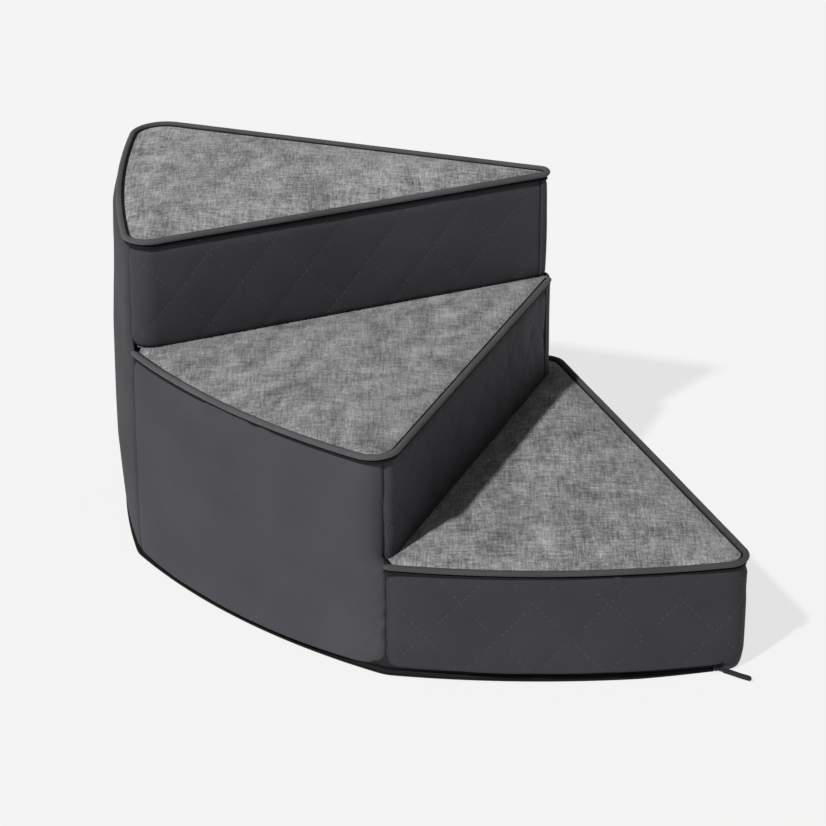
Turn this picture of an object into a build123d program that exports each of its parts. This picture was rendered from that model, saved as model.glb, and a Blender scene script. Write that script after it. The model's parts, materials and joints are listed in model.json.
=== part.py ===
from build123d import *
import os
from math import asin, atan2, cos, degrees, hypot, radians, sin

# Three-step corner stair for pets: fan-shaped foam slabs in a sewn cover with a zip along the base.
# Millimetres. The plan is drawn about the tip where the steps meet, with the flat back along -X, and
# every piece is then moved so that the origin is the centre of the bounding box's bottom face.

# ---- driving dimensions: the fan in plan ----
RISE = 115.0                      # height of one step
BACK_CORNER = (469.0, 180.0)      # outer corners: distance from the tip, direction in degrees
LEFT_CORNER = (475.0, 222.2)
FRONT_CORNER = (475.0, 265.9)
ENTRY_CORNER = (463.0, 309.9)
SAGITTA_3 = 18.0                  # how far each curved side bulges beyond its chord
SAGITTA_2 = 22.0
SAGITTA_1 = 17.5
RISER_2_SHIFT = 4.0               # the lower riser passes this far left of the tip
NOSE_CENTRE = (-14.0, 2.0)        # round end of the lowest step, wrapped behind the column
NOSE_R = 20.5
NOSE_CROWN = 110.0                # direction of a point on the nose, between its ends
BACK_R = 35.0                     # plan radii of the corners
SEAM_R = 40.0
LEFT_TOP_R = 22.0
FRONT_TOP_R = 26.0
ENTRY_R = 20.0
TIP_2_R = 16.0
TIP_3_R = 8.0

# ---- driving dimensions: the layers ----
PIPING_R = 4.0                    # welt cord in its fabric
PIPING_DROP = 2.0                 # its centre lies this far below the tread
PIPING_START = 7.0                # its distance from the seam where it comes out
PIPING_1_END = 181.0              # where it ends on the nose and on the tip, degrees about their centres
PIPING_2_END = 30.0
TREAD_T = 2.0
TREAD_INSET = 4.2
COMFORT_T = 20.0                  # soft foam under the tread
COMFORT_INSET = 4.3
WALL_T = 2.5                      # padded side fabric
WALL_FOOT = 8.3                   # the walls stop here, above the zip and the hem
WALL_DROP = 6.2                   # and this far below each tread, under the piping
HEM_TOP = 8.0
SLAB_INSET = 3.0
BASE_SLAB_INSET = 5.2
LAYER_GAP = 0.2
BASE_FOOT = 0.6                   # grip dots and tape foot, below the base panel
BASE_T = 1.6
BASE_INSET = 5.0
RISER_GAP = 0.3                   # between a riser and the tread that it stands on
SEAM_GAP = 0.1                    # between sewn neighbours
BACK_HEM_GAP = 0.8                # the back's and the entry's ends, short of where they meet at the nose
ENTRY_HEM_GAP = 0.5
BACK_SEAM = 55.0                  # the back seam's distance from the back corner
ENTRY_SEAM = 34.0                 # the entry seam's distance from the entry corner
TIP_3_SEAM = 6.0                  # the tip seams' distance past the end of the rounding
TIP_2_SEAM = 8.0
DOT_R = 4.0
DOT_PITCH = 34.0
DOT_MARGIN = 12.0                 # from a dot's centre to the panel's edge, at least
DOT_COLUMNS = 14                  # tried each way from the middle
DOT_ROWS = 9

# ---- driving dimensions: the zip ----
ZIP_Z = 4.3                       # height of the chain's centre line
COIL = 1.2                        # section of one coil row
COIL_INSET = 1.4
ROW_GAP = 1.2                     # space between the two rows, where the slider's post runs
TAPE_INSET = 2.6
TAPE_T = 0.6
TAPE_TOP = 17.0
TAPE_FOOT_W = 6.5
ZIP_START = 48.0                  # the zip's start, along the curved side from the back corner
STOP_L = 3.0
SLIDER_L = 8.6
SLIDER_H = 6.6
PLATE_T = 1.0
PLATE_R = 2.0
PLATE_OUT_INSET = 0.1
PLATE_IN_INSET = 3.5
POST_H = 0.6
POST_L = 2.4
SLIDER_TO_CORNER = 31.0           # the closed slider's distance from the entry corner
WIRE_R = 0.55                     # the pull's wire link
LINK_L = 5.4
LINK_HALF_H = 1.6
LINK_R = 0.6                      # its corners, along the wire's middle
LINK_PLAY = 0.05
PIVOT_OUT = 1.3                   # the pull's hinge, in front of the outer plate
BAIL_OUT = 2.5
BAIL_T = 0.7
BAIL_L = 6.4
BAIL_H = 1.4
NECK_R = 1.25
NECK_H = 2.0
NECK_LAP = 0.5                    # the neck runs this far into the strap
TAB_START = 6.6
TAB_END = 38.0
TAB_H = 5.6
TAB_T = 1.8
TAB_R = 1.6
TAB_DIRECTION = 345.0             # where the strap points at rest, in degrees from +X

# ---- limits of the plan regions that cut the panels apart, all clear of the fan ----
FAR = 1500.0
REACH = 60.0
SEAM_DEPTH = 9.0                  # a tip seam's cut ends this far inside the wall


def polar(radius, angle):
    return (radius * cos(radians(angle)), radius * sin(radians(angle)))


def moved(point, angle, distance):
    step = polar(distance, angle)
    return (point[0] + step[0], point[1] + step[1])


def direction(start, end):
    return degrees(atan2(end[1] - start[1], end[0] - start[0]))


def distance(start, end):
    return hypot(end[0] - start[0], end[1] - start[1])


BACK = polar(*BACK_CORNER)
LEFT = polar(*LEFT_CORNER)
FRONT = polar(*FRONT_CORNER)
ENTRY = polar(*ENTRY_CORNER)
TIP_3 = (0.0, 0.0)
TIP_2 = (-RISER_2_SHIFT, 0.0)
HUB = (-230.0, -110.0)            # a point inside every level, from which the seams are cut


def unit(start, end):
    length = distance(start, end)
    return ((end[0] - start[0]) / length, (end[1] - start[1]) / length)


def curved_side(start, end, sagitta):
    """Centre and radius of the curved side from start to end, which bulges away from the tip."""
    chord = distance(start, end)
    radius = (chord * chord / 4 + sagitta * sagitta) / (2 * sagitta)
    middle = ((start[0] + end[0]) / 2, (start[1] + end[1]) / 2)
    return moved(middle, direction(start, end) + 90, radius - sagitta), radius


# A side of the plan is ("arc", centre, radius) or ("line", a point on it, the direction inwards).
SIDE_3 = ("arc", *curved_side(BACK, LEFT, SAGITTA_3))
SIDE_2 = ("arc", *curved_side(LEFT, FRONT, SAGITTA_2))
SIDE_1 = ("arc", *curved_side(FRONT, ENTRY, SAGITTA_1))
RISER_3_DIRECTION = direction(TIP_3, LEFT)
RISER_2_DIRECTION = direction(TIP_2, FRONT)
ENTRY_DIRECTION = direction(NOSE_CENTRE, ENTRY) - degrees(asin(NOSE_R / distance(NOSE_CENTRE, ENTRY)))
BACK_SIDE = ("line", TIP_3, -90.0)
RISER_3 = ("line", TIP_3, RISER_3_DIRECTION - 90)
RISER_2 = ("line", TIP_2, RISER_2_DIRECTION - 90)
ENTRY_SIDE = ("line", ENTRY, ENTRY_DIRECTION - 90)


def inset_side(side, amount):
    kind, point, size = side
    if kind == "arc":
        return (kind, point, size - amount)
    return (kind, moved(point, size, amount), size)


def foot(side, point):
    """The nearest point of a side to a point."""
    kind, origin, size = side
    if kind == "arc":
        return moved(origin, direction(origin, point), size)
    inward = polar(1.0, size)
    depth = (point[0] - origin[0]) * inward[0] + (point[1] - origin[1]) * inward[1]
    return (point[0] - depth * inward[0], point[1] - depth * inward[1])


def meeting(side_a, side_b, guess):
    """Where two sides cross, nearest to a guess, by stepping from one to the other."""
    point = guess
    for _ in range(400):
        point = foot(side_b, foot(side_a, point))
    return point


def corner(side_a, side_b, apex, radius):
    """Centre of the rounding of this radius between two sides."""
    return meeting(inset_side(side_a, radius), inset_side(side_b, radius), apex), radius


BACK_ROUND = corner(BACK_SIDE, SIDE_3, BACK, BACK_R)
LEFT_ROUND = corner(SIDE_3, SIDE_2, LEFT, SEAM_R)
FRONT_ROUND = corner(SIDE_2, SIDE_1, FRONT, SEAM_R)
ENTRY_ROUND = corner(SIDE_1, ENTRY_SIDE, ENTRY, ENTRY_R)
LEFT_TOP_ROUND = corner(SIDE_3, RISER_3, LEFT, LEFT_TOP_R)
FRONT_TOP_ROUND = corner(SIDE_2, RISER_2, FRONT, FRONT_TOP_R)
TIP_3_ROUND = corner(RISER_3, BACK_SIDE, TIP_3, TIP_3_R)
TIP_2_ROUND = corner(RISER_2, BACK_SIDE, TIP_2, TIP_2_R)
NOSE_ROUND = (NOSE_CENTRE, NOSE_R)

# Each level's outline, anticlockwise: a side, then the rounding that ends it.
OUTLINES = [
    [(BACK_SIDE, BACK_ROUND), (SIDE_3, LEFT_ROUND), (SIDE_2, FRONT_ROUND), (SIDE_1, ENTRY_ROUND),
     (ENTRY_SIDE, NOSE_ROUND)],
    [(BACK_SIDE, BACK_ROUND), (SIDE_3, LEFT_ROUND), (SIDE_2, FRONT_TOP_ROUND), (RISER_2, TIP_2_ROUND)],
    [(BACK_SIDE, BACK_ROUND), (SIDE_3, LEFT_TOP_ROUND), (RISER_3, TIP_3_ROUND)],
]


def arc_between(centre, start, end):
    """The short arc about a centre from one point to another."""
    radius = distance(centre, start)
    to_start = unit(centre, start)
    to_end = unit(centre, end)
    crown = (centre[0] + to_start[0] + to_end[0], centre[1] + to_start[1] + to_end[1])
    return ThreePointArc(start, moved(centre, direction(centre, crown), radius), end)


def side_edge(side, start, end):
    return arc_between(side[1], start, end) if side[0] == "arc" else Line(start, end)


def nose_end(amount):
    """Where the inset nose meets the inset back."""
    radius = NOSE_R - amount
    rise = NOSE_CENTRE[1] + amount
    return (NOSE_CENTRE[0] - (radius * radius - rise * rise) ** 0.5, -amount)


def inset(step, amount):
    """Plan of a level with its whole edge moved inwards; a negative amount moves it outwards."""
    sides = OUTLINES[step - 1]
    edges = []
    for place, (side, (centre, radius)) in enumerate(sides):
        shifted = inset_side(side, amount)
        following = inset_side(sides[(place + 1) % len(sides)][0], amount)
        start = foot(shifted, sides[place - 1][1][0])
        if place == 0 and step == 1:
            start = nose_end(amount)
        end = foot(shifted, centre)
        edges.append(side_edge(shifted, start, end))
        if centre == NOSE_CENTRE:
            crown = moved(NOSE_CENTRE, NOSE_CROWN, radius - amount)
            edges.append(ThreePointArc(end, crown, nose_end(amount)))
        else:
            edges.append(arc_between(centre, end, foot(following, centre)))
    return Face(Wire(edges))


def slab(face, bottom, top):
    return extrude(Pos(0, 0, bottom) * face, amount=top - bottom, dir=(0, 0, 1))


def region(*points):
    return Face(Wire.make_polygon([(x, y) for x, y in points], close=True))


def far(point, times=3.0):
    return (HUB[0] + (point[0] - HUB[0]) * times, HUB[1] + (point[1] - HUB[1]) * times)


def band(step, outer, inner, bottom, top, *regions):
    """A wall that follows a level's outline between two insets, kept inside the given plan regions."""
    ring = inset(step, outer) - inset(step, inner)
    for piece in regions:
        ring = ring & piece
    return slab(ring, bottom, top)


def tip_seam(rounding, riser_direction, past):
    """Inner and outer ends of the cut where the back cover, wrapped round a tip, meets a riser."""
    centre, radius = rounding
    outward = riser_direction + 90
    seam = moved(moved(centre, outward, radius), riser_direction, past)
    return moved(seam, outward, -SEAM_DEPTH), moved(seam, outward, REACH)


SEAM_3_IN, SEAM_3_OUT = tip_seam(TIP_3_ROUND, RISER_3_DIRECTION, TIP_3_SEAM)
SEAM_2_IN, SEAM_2_OUT = tip_seam(TIP_2_ROUND, RISER_2_DIRECTION, TIP_2_SEAM)
ENTRY_SEAM_POINT = moved(ENTRY, ENTRY_DIRECTION, -ENTRY_SEAM)
ENTRY_SEAM_OUT = moved(ENTRY_SEAM_POINT, ENTRY_DIRECTION + 90, REACH)
ENTRY_SEAM_IN = moved(ENTRY_SEAM_POINT, ENTRY_DIRECTION - 90, REACH)
ZIP_END_DIRECTION = ENTRY_DIRECTION + 130   # from the entry corner, back along the curved side
BACK_SEAM_X = BACK[0] + BACK_SEAM
NOSE_END = nose_end(0.0)
BACK_EDGE = NOSE_END[0] - BACK_HEM_GAP
ENTRY_EDGE = NOSE_END[0] - ENTRY_HEM_GAP


def along(side, point, length):
    """The point that lies this far anticlockwise of another along a curved side."""
    _, centre, radius = side
    return moved(centre, direction(centre, point) + degrees(length / radius), radius)


def side_regions():
    """Plan regions of the three curved side covers, lowest step first."""
    first = region(HUB, far(FRONT), far(ENTRY), ENTRY_SEAM_OUT, ENTRY_SEAM_IN)
    second = region(HUB, far(LEFT), far(FRONT))
    third = region((BACK_SEAM_X, REACH), (BACK_SEAM_X, HUB[1]), HUB, far(LEFT), (-FAR, REACH))
    return [first, second, third]


def back_region(seam_in, seam_out):
    left = BACK_SEAM_X + SEAM_GAP
    return region(
        (left, REACH), (left, -SEAM_DEPTH), (-REACH, -SEAM_DEPTH), seam_in, seam_out, (REACH, -REACH),
        (REACH, REACH),
    )


LOW_BACK_REGION = region(
    (BACK_SEAM_X + SEAM_GAP, REACH), (BACK_SEAM_X + SEAM_GAP, -SEAM_DEPTH), (BACK_EDGE, -SEAM_DEPTH),
    (BACK_EDGE, REACH),
)
ENTRY_REGION = region(
    (ENTRY_EDGE, -REACH), (ENTRY_EDGE, REACH), (FAR, REACH), ENTRY_SEAM_OUT, ENTRY_SEAM_IN,
)


def wall_top(step):
    return step * RISE - WALL_DROP


def side_cover(step):
    """The curved side panel of one wedge, from the zip up to its tread."""
    cut = side_regions()[step - 1]
    cover = band(1, 0, WALL_T, WALL_FOOT, wall_top(1) if step == 1 else RISE, cut)
    for level in range(2, step + 1):
        top = wall_top(step) if level == step else level * RISE
        cover += band(level, 0, WALL_T, (level - 1) * RISE, top, cut)
    return cover


def riser_cover(step):
    """The quilted upright panel under a tread, on the step below."""
    seam_in, seam_out = (SEAM_2_IN, SEAM_2_OUT) if step == 2 else (SEAM_3_IN, SEAM_3_OUT)
    start = FRONT if step == 2 else LEFT
    cut = region(HUB, far(start), (FAR, -FAR), seam_out, seam_in)
    return band(step, 0, WALL_T, (step - 1) * RISE + RISER_GAP, wall_top(step), cut)


def back_cover():
    """The flat back panel, wrapped round the tip of the upper two steps."""
    tip = back_region(SEAM_2_IN, SEAM_2_OUT)
    low = band(1, 0, WALL_T, WALL_FOOT, RISE, LOW_BACK_REGION)
    middle = band(2, 0, WALL_T, RISE, wall_top(2), tip)
    under_top_step = band(2, 0, WALL_T, wall_top(2), 2 * RISE, tip, inset(3, 0))
    high = band(3, 0, WALL_T, 2 * RISE, wall_top(3), back_region(SEAM_3_IN, SEAM_3_OUT))
    return low + middle + under_top_step + high


def entry_cover():
    """The straight entry side and the round nose of the lowest step."""
    return band(1, 0, WALL_T, WALL_FOOT, wall_top(1), ENTRY_REGION)


def exposed(step, edge_inset, column_inset):
    """Plan of a level outside the column that stands on it."""
    face = inset(step, edge_inset)
    if step == len(OUTLINES):
        return face
    rest = face - inset(step + 1, column_inset)
    return max(rest.faces(), key=lambda piece: piece.area)


def tread_cover(step):
    top = step * RISE
    return slab(exposed(step, TREAD_INSET, -RISER_GAP), top - TREAD_T, top)


def comfort_layer(step):
    top = step * RISE - TREAD_T
    return slab(exposed(step, COMFORT_INSET, SLAB_INSET - LAYER_GAP), top - COMFORT_T, top)


def foam_slab(step):
    top = step * RISE - TREAD_T - COMFORT_T
    if step == 1:
        return slab(inset(1, BASE_SLAB_INSET), BASE_FOOT + BASE_T + LAYER_GAP, top)
    return slab(inset(step, SLAB_INSET), top - RISE + LAYER_GAP, top)


def corner_edge(side, rounding, following):
    centre = rounding[0]
    return arc_between(centre, foot(side, centre), foot(following, centre))


def piping_path(step):
    """The edge of a tread that carries piping: all round the highest, and the free edge of the rest."""
    if step == 3:
        return inset(3, 0.0).outer_wire()
    if step == 2:
        start = along(SIDE_2, LEFT, PIPING_START)
        tip = moved(TIP_2_ROUND[0], PIPING_2_END, TIP_2_R)
        return Wire([
            side_edge(SIDE_2, start, foot(SIDE_2, FRONT_TOP_ROUND[0])),
            corner_edge(SIDE_2, FRONT_TOP_ROUND, RISER_2),
            Line(foot(RISER_2, FRONT_TOP_ROUND[0]), foot(RISER_2, TIP_2_ROUND[0])),
            arc_between(TIP_2_ROUND[0], foot(RISER_2, TIP_2_ROUND[0]), tip),
        ])
    start = along(SIDE_1, FRONT, PIPING_START)
    nose_start = foot(ENTRY_SIDE, NOSE_CENTRE)
    nose_top = moved(NOSE_CENTRE, NOSE_CROWN, NOSE_R)
    return Wire([
        side_edge(SIDE_1, start, foot(SIDE_1, ENTRY_ROUND[0])),
        corner_edge(SIDE_1, ENTRY_ROUND, ENTRY_SIDE),
        Line(foot(ENTRY_SIDE, ENTRY_ROUND[0]), nose_start),
        ThreePointArc(nose_start, nose_top, moved(NOSE_CENTRE, PIPING_1_END, NOSE_R)),
    ])


def piping(step):
    """A round welt along its path, at the edge of a tread."""
    path = Pos(0, 0, step * RISE - PIPING_DROP) * piping_path(step)
    section = Plane(origin=path @ 0, z_dir=path % 0) * Circle(PIPING_R)
    return sweep(section, path=path)


def base_panel():
    return slab(inset(1, BASE_INSET), BASE_FOOT, BASE_FOOT + BASE_T)


def grip_dots(centre):
    """Round grips under the base panel, on a square grid through the given centre."""
    panel = inset(1, BASE_INSET)
    dots = []
    for column in range(-DOT_COLUMNS, DOT_COLUMNS + 1):
        for row in range(-DOT_ROWS, DOT_ROWS + 1):
            spot = (centre[0] + column * DOT_PITCH, centre[1] + row * DOT_PITCH)
            rim = [moved(spot, angle, DOT_MARGIN) for angle in range(0, 360, 45)]
            if all(panel.is_inside(Vector(*point)) for point in rim):
                dots.append(Pos(*spot, BASE_FOOT / 2) * Cylinder(DOT_R, BASE_FOOT))
    return Compound(children=dots)


def zip_region(trim):
    """Plan region of the zip, which ends this much short of the hem at each end."""
    start = far(along(SIDE_3, BACK, ZIP_START + trim))
    end = far(moved(ENTRY, ZIP_END_DIRECTION, -trim))
    return region(HUB, start, (-FAR, -FAR), (0, -FAR), (FAR, -FAR), end)


def binding_back():
    """The folded hem along the back and round its corner, up to the zip."""
    start = far(along(SIDE_3, BACK, ZIP_START - SEAM_GAP))
    cut = region((BACK_EDGE, REACH), (BACK_EDGE, -SEAM_DEPTH), HUB, start, (-FAR, FAR))
    return band(1, 0, WALL_T, 0, HEM_TOP, cut)


def binding_entry():
    """The folded hem from the zip round the entry corner, the entry side and the nose."""
    end = far(moved(ENTRY, ZIP_END_DIRECTION, SEAM_GAP))
    cut = region((ENTRY_EDGE, FAR), (ENTRY_EDGE, -REACH), HUB, end, (FAR, REACH), (FAR, FAR))
    return band(1, 0, WALL_T, 0, HEM_TOP, cut)


def tape_upper():
    bottom = ZIP_Z + ROW_GAP / 2
    return band(1, TAPE_INSET, TAPE_INSET + TAPE_T, bottom, TAPE_TOP, zip_region(SEAM_GAP))


def tape_lower():
    """The lower tape and its foot, turned in under the base panel."""
    cut = zip_region(SEAM_GAP)
    upright = band(1, TAPE_INSET, TAPE_INSET + TAPE_T, 0, ZIP_Z - ROW_GAP / 2, cut)
    return upright + band(1, TAPE_INSET, TAPE_INSET + TAPE_FOOT_W, 0, BASE_FOOT, cut)


def coil(side):
    """One coil row: above the chain's centre line for side 1, below it for side -1."""
    near = ZIP_Z + side * ROW_GAP / 2
    edge = near + side * COIL
    return band(1, COIL_INSET, COIL_INSET + COIL, min(near, edge), max(near, edge), zip_region(STOP_L))


def zip_stops():
    """Stops that close each end of the two coil rows."""
    outside = zip_region(SEAM_GAP) - zip_region(STOP_L - SEAM_GAP)
    low = ZIP_Z - ROW_GAP / 2 - COIL
    high = ZIP_Z + ROW_GAP / 2 + COIL
    ring = (inset(1, COIL_INSET) - inset(1, COIL_INSET + COIL)) & outside
    return Compound(children=list(slab(ring, low, high).solids()))


SLIDER_SPOT = along(SIDE_1, ENTRY, -SLIDER_TO_CORNER)
SLIDER_OUTWARD = direction(SIDE_1[1], SLIDER_SPOT)
PIVOT = moved(SLIDER_SPOT, SLIDER_OUTWARD, PIVOT_OUT - PLATE_OUT_INSET)


def block(length, low, high, bottom, top, along_shift=0.0):
    """A box on the slider: its length along the zip, and its extent outwards and upwards."""
    middle = ((low + high) / 2, along_shift, (bottom + top) / 2)
    return Pos(*middle) * Box(high - low, length, top - bottom)


def on_slider(shape):
    return Pos(*SLIDER_SPOT, 0) * Rot(0, 0, SLIDER_OUTWARD) * shape


def zip_slider():
    """Two plates joined by the post that runs between the coil rows, and a bail for the link."""
    low = ZIP_Z - SLIDER_H / 2
    high = ZIP_Z + SLIDER_H / 2
    face = -PLATE_OUT_INSET
    outer = fillet(block(SLIDER_L, face - PLATE_T, face, low, high).edges().filter_by(Axis.X), PLATE_R)
    inner = block(SLIDER_L, -PLATE_IN_INSET - PLATE_T, -PLATE_IN_INSET, low, high)
    inner = fillet(inner.edges().filter_by(Axis.X), PLATE_R)
    post = block(POST_L, -PLATE_IN_INSET, face - PLATE_T, ZIP_Z - POST_H / 2, ZIP_Z + POST_H / 2)
    bail_low = ZIP_Z - BAIL_H / 2
    bail_high = ZIP_Z + BAIL_H / 2
    strap = block(BAIL_L, face + BAIL_OUT, face + BAIL_OUT + BAIL_T, bail_low, bail_high)
    shift = (BAIL_L - BAIL_T) / 2
    feet = [block(BAIL_T, face, face + BAIL_OUT, bail_low, bail_high, side * shift) for side in (-1, 1)]
    return on_slider(outer + inner + post + strap + feet[0] + feet[1])


def on_pull(shape):
    return Pos(*PIVOT, ZIP_Z) * Rot(0, 0, TAB_DIRECTION) * shape


def pull_link():
    """A closed wire link: the slider's bail holds its near leg and the strap its far leg."""
    loop = RectangleRounded(LINK_L, 2 * LINK_HALF_H, LINK_R).wire()
    path = Pos(LINK_L / 2, 0, 0) * Rot(90, 0, 0) * loop
    section = Plane(origin=path @ 0, z_dir=path % 0) * Circle(WIRE_R)
    return on_pull(sweep(section, path=path))


def pull_tab():
    """A stiff strap, folded round the link's far leg and widening to its full height."""
    neck = Pos(LINK_L, 0, 0) * Cylinder(NECK_R, NECK_H)
    web_end = TAB_START + NECK_LAP
    web = Pos((LINK_L + web_end) / 2, 0, 0) * Box(web_end - LINK_L, TAB_T, NECK_H)
    length = TAB_END - TAB_START
    strap = Pos(TAB_START + length / 2, 0, 0) * Box(length, TAB_T, TAB_H)
    strap = fillet(strap.edges().filter_by(Axis.Y), TAB_R)
    hole = Pos(LINK_L, 0, 0) * Cylinder(WIRE_R + LINK_PLAY, TAB_H)
    return on_pull(neck + web + strap - hole)


def all_pieces():
    pieces = {}
    for step in (1, 2, 3):
        pieces[f"foam_slab_{step}"] = foam_slab(step)
        pieces[f"comfort_layer_{step}"] = comfort_layer(step)
        pieces[f"tread_cover_{step}"] = tread_cover(step)
        pieces[f"piping_{step}"] = piping(step)
        pieces[f"side_cover_{step}"] = side_cover(step)
    pieces["riser_cover_2"] = riser_cover(2)
    pieces["riser_cover_3"] = riser_cover(3)
    pieces["back_cover"] = back_cover()
    pieces["entry_cover"] = entry_cover()
    pieces["base_panel"] = base_panel()
    pieces["base_binding_back"] = binding_back()
    pieces["base_binding_entry"] = binding_entry()
    pieces["zip_tape_upper"] = tape_upper()
    pieces["zip_tape_lower"] = tape_lower()
    pieces["zip_coil_upper"] = coil(1)
    pieces["zip_coil_lower"] = coil(-1)
    pieces["zip_stops"] = zip_stops()
    pieces["zip_slider"] = zip_slider()
    pieces["pull_link"] = pull_link()
    pieces["pull_tab"] = pull_tab()
    return pieces


def main():
    os.makedirs("parts", exist_ok=True)
    pieces = all_pieces()
    boxes = [piece.bounding_box() for piece in pieces.values()]
    centre_x = (min(box.min.X for box in boxes) + max(box.max.X for box in boxes)) / 2
    centre_y = (min(box.min.Y for box in boxes) + max(box.max.Y for box in boxes)) / 2
    pieces["grip_dots"] = grip_dots((centre_x, centre_y))
    for name, piece in pieces.items():
        export_step(Pos(-centre_x, -centre_y, 0) * piece, f"parts/{name}.step")
    hinges = {"zip_slide": SIDE_1[1], "pull_swing": PIVOT}
    for name, point in hinges.items():
        print(f"{name} axis at x {point[0] - centre_x:.3f}, y {point[1] - centre_y:.3f}")
    print(f"origin in plan {centre_x:.3f}, {centre_y:.3f}")
    print(f"slider faces {SLIDER_OUTWARD:.3f} degrees, curved side radius {SIDE_1[2]:.2f}")
    print(f"front corner direction {direction(SIDE_1[1], foot(SIDE_1, FRONT_ROUND[0])):.3f}")


main()
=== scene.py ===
import json
import math

import bpy
import numpy as np
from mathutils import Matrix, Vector, kdtree, noise
from mathutils.geometry import delaunay_2d_cdt


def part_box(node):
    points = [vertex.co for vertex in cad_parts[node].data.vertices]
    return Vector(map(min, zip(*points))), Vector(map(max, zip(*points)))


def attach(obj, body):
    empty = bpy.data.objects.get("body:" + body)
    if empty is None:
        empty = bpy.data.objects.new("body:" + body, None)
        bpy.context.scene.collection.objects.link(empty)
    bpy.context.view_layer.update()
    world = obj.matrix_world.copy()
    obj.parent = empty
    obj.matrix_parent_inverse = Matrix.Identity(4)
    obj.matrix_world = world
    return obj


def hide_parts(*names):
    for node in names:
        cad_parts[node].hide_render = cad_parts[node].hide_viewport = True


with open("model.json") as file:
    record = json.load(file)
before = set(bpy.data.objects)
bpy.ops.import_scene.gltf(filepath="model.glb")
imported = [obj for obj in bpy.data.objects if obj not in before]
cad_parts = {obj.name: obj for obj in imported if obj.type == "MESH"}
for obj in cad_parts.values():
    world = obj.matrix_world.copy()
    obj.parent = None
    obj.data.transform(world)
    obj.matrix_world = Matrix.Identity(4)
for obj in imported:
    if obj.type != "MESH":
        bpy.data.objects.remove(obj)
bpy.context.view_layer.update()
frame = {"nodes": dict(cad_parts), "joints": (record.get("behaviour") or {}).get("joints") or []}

# The looks of a three-step corner stair for pets. The plan is drawn in millimetres about the tip
# where the steps meet, with the flat back along -X, as the frame's own source draws it, and every
# vertex is then moved into the frame, in metres.

# ---- the fan in plan, millimetres and degrees ----
# A corner is its distance from the tip and its direction. A sagitta is how far a side bows out.
RISE = 115.0
BACK_CORNER = (469.0, 180.0)
LEFT_CORNER = (475.0, 222.2)
FRONT_CORNER = (475.0, 265.9)
ENTRY_CORNER = (463.0, 309.9)
SAGITTA_3 = 18.0
SAGITTA_TOP = 14.5
SAGITTA_2 = 22.0
SAGITTA_1 = 17.5
RISER_2_SHIFT = 4.0
NOSE_CENTRE = (-14.0, 2.0)
NOSE_R = 20.5
BACK_R = 35.0
SEAM_R = 40.0
LEFT_TOP_R = 22.0
FRONT_TOP_R = 26.0
ENTRY_R = 20.0
TIP_2_R = 16.0
TIP_3_R = 8.0
BACK_SEAM = 55.0
ENTRY_SEAM = 34.0
TIP_3_SEAM = 1.0
TIP_2_SEAM = 8.0
ZIP_START = 48.0

# ---- the layers ----
LIFT = {1: 4.0, 2: 0.0, 3: 0.0}   # how far the stuffed steps stand above their even rises
WELT_R = 3.0
WELT_DROP = 1.4
WELT_OUT = 0.6
CREASE_SHADES = ((0.5, 7.4, 1.9), (4.0, 1.5, 0.9))   # inset, drop and radius of the near-black tubes that paint the shade in the creases beside a welt
CREASE_SHADE_STEP = 5.0
CREASE_SHADE_SIDES = 8
WELT_STEP = 1.6
WELT_SIDES = 22
WELT_START = {1: -2.5, 2: 2.5}
WELT_1_END = 181.0
WELT_2_END = -1.0
WALL_T = 2.0
WALL_FOOT = 7.8
SIDE_FOOT = 4.2
CORNER_ZONE = 75.0                # how near to a corner a tread's edge is cut back, and by how much
CORNER_CUT = 0.8
CORNER_REACH = 5.0
FRONT_SEAM_SHIFT = -4.0
LEFT_SEAM_TURN = 228.0
FRONT_SEAM_TURN = 316.0
WALL_DROP = 6.2
TREAD_INSET = 2.4
TREAD_T = 3.2
TREAD_SINK = 0.9                  # how far a tread's edge lies below the top of its step
CROWN_H = 5.2
CROWN_REACH = 26.0
EDGE_DIP = 2.6
EDGE_REACH = 3.4
ZIP_Z = 4.3
COIL_INSET = 1.4
TAPE_INSET = 2.6
ROW_GAP = 1.2
COIL = 1.2
COIL_PITCH = 2.0
COIL_STEPS = 9
COIL_START = 3.0
COIL_WIDE = 0.4
COIL_TALL = 0.38
WIRE_R = 0.2
TAPE_TOP = 17.0
TAPE_BEND = 9.0
TAPE_BACK = 8.5
TAPE_T = 0.8
LOWER_TAPE_T = 0.6
LOWER_TAPE_TOP = ZIP_Z - 0.7
LOWER_TAPE_BACK = 9.0
HEM_TOP = 8.0
HEM_T = 2.5
HEM_OUT = -1.9
HEM_ROUND = 1.2
FLOOR_GAP = 0.05
LIP_ROOT = 1.7
LIP_TOP = 0.85
LIP_ROUND = 0.6
LIP_OUT = 2.4
LIP_SHORT = 4.0
LIP_TAPER = 70.0
FOAM_INSET = {1: 14.0, 2: 12.0, 3: 7.0}
FOAM_DEPTH = 3.4
BLOCK_FOOT = 3.0
SOFT_T = 20.0
BASE_INSET = 5.5
BASE_FOOT = 0.6
BASE_T = 1.6
STRAP_START = 4.4
STRAP_END = 36.5
STRAP_H = 5.6
STRAP_T = 2.1
STRAP_DIRECTION = 345.0
STITCH = 3.2
STITCH_GAP = 3.0
STITCH_LIFT = 0.12
MM = 0.001
SAMPLE = 0.5                      # spacing of the points that an outline is kept as


def polar(radius, angle):
    return np.array([radius * math.cos(math.radians(angle)), radius * math.sin(math.radians(angle))])


def direction(start, end):
    return math.degrees(math.atan2(end[1] - start[1], end[0] - start[0]))


def distance(start, end):
    return float(np.hypot(end[0] - start[0], end[1] - start[1]))


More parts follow.
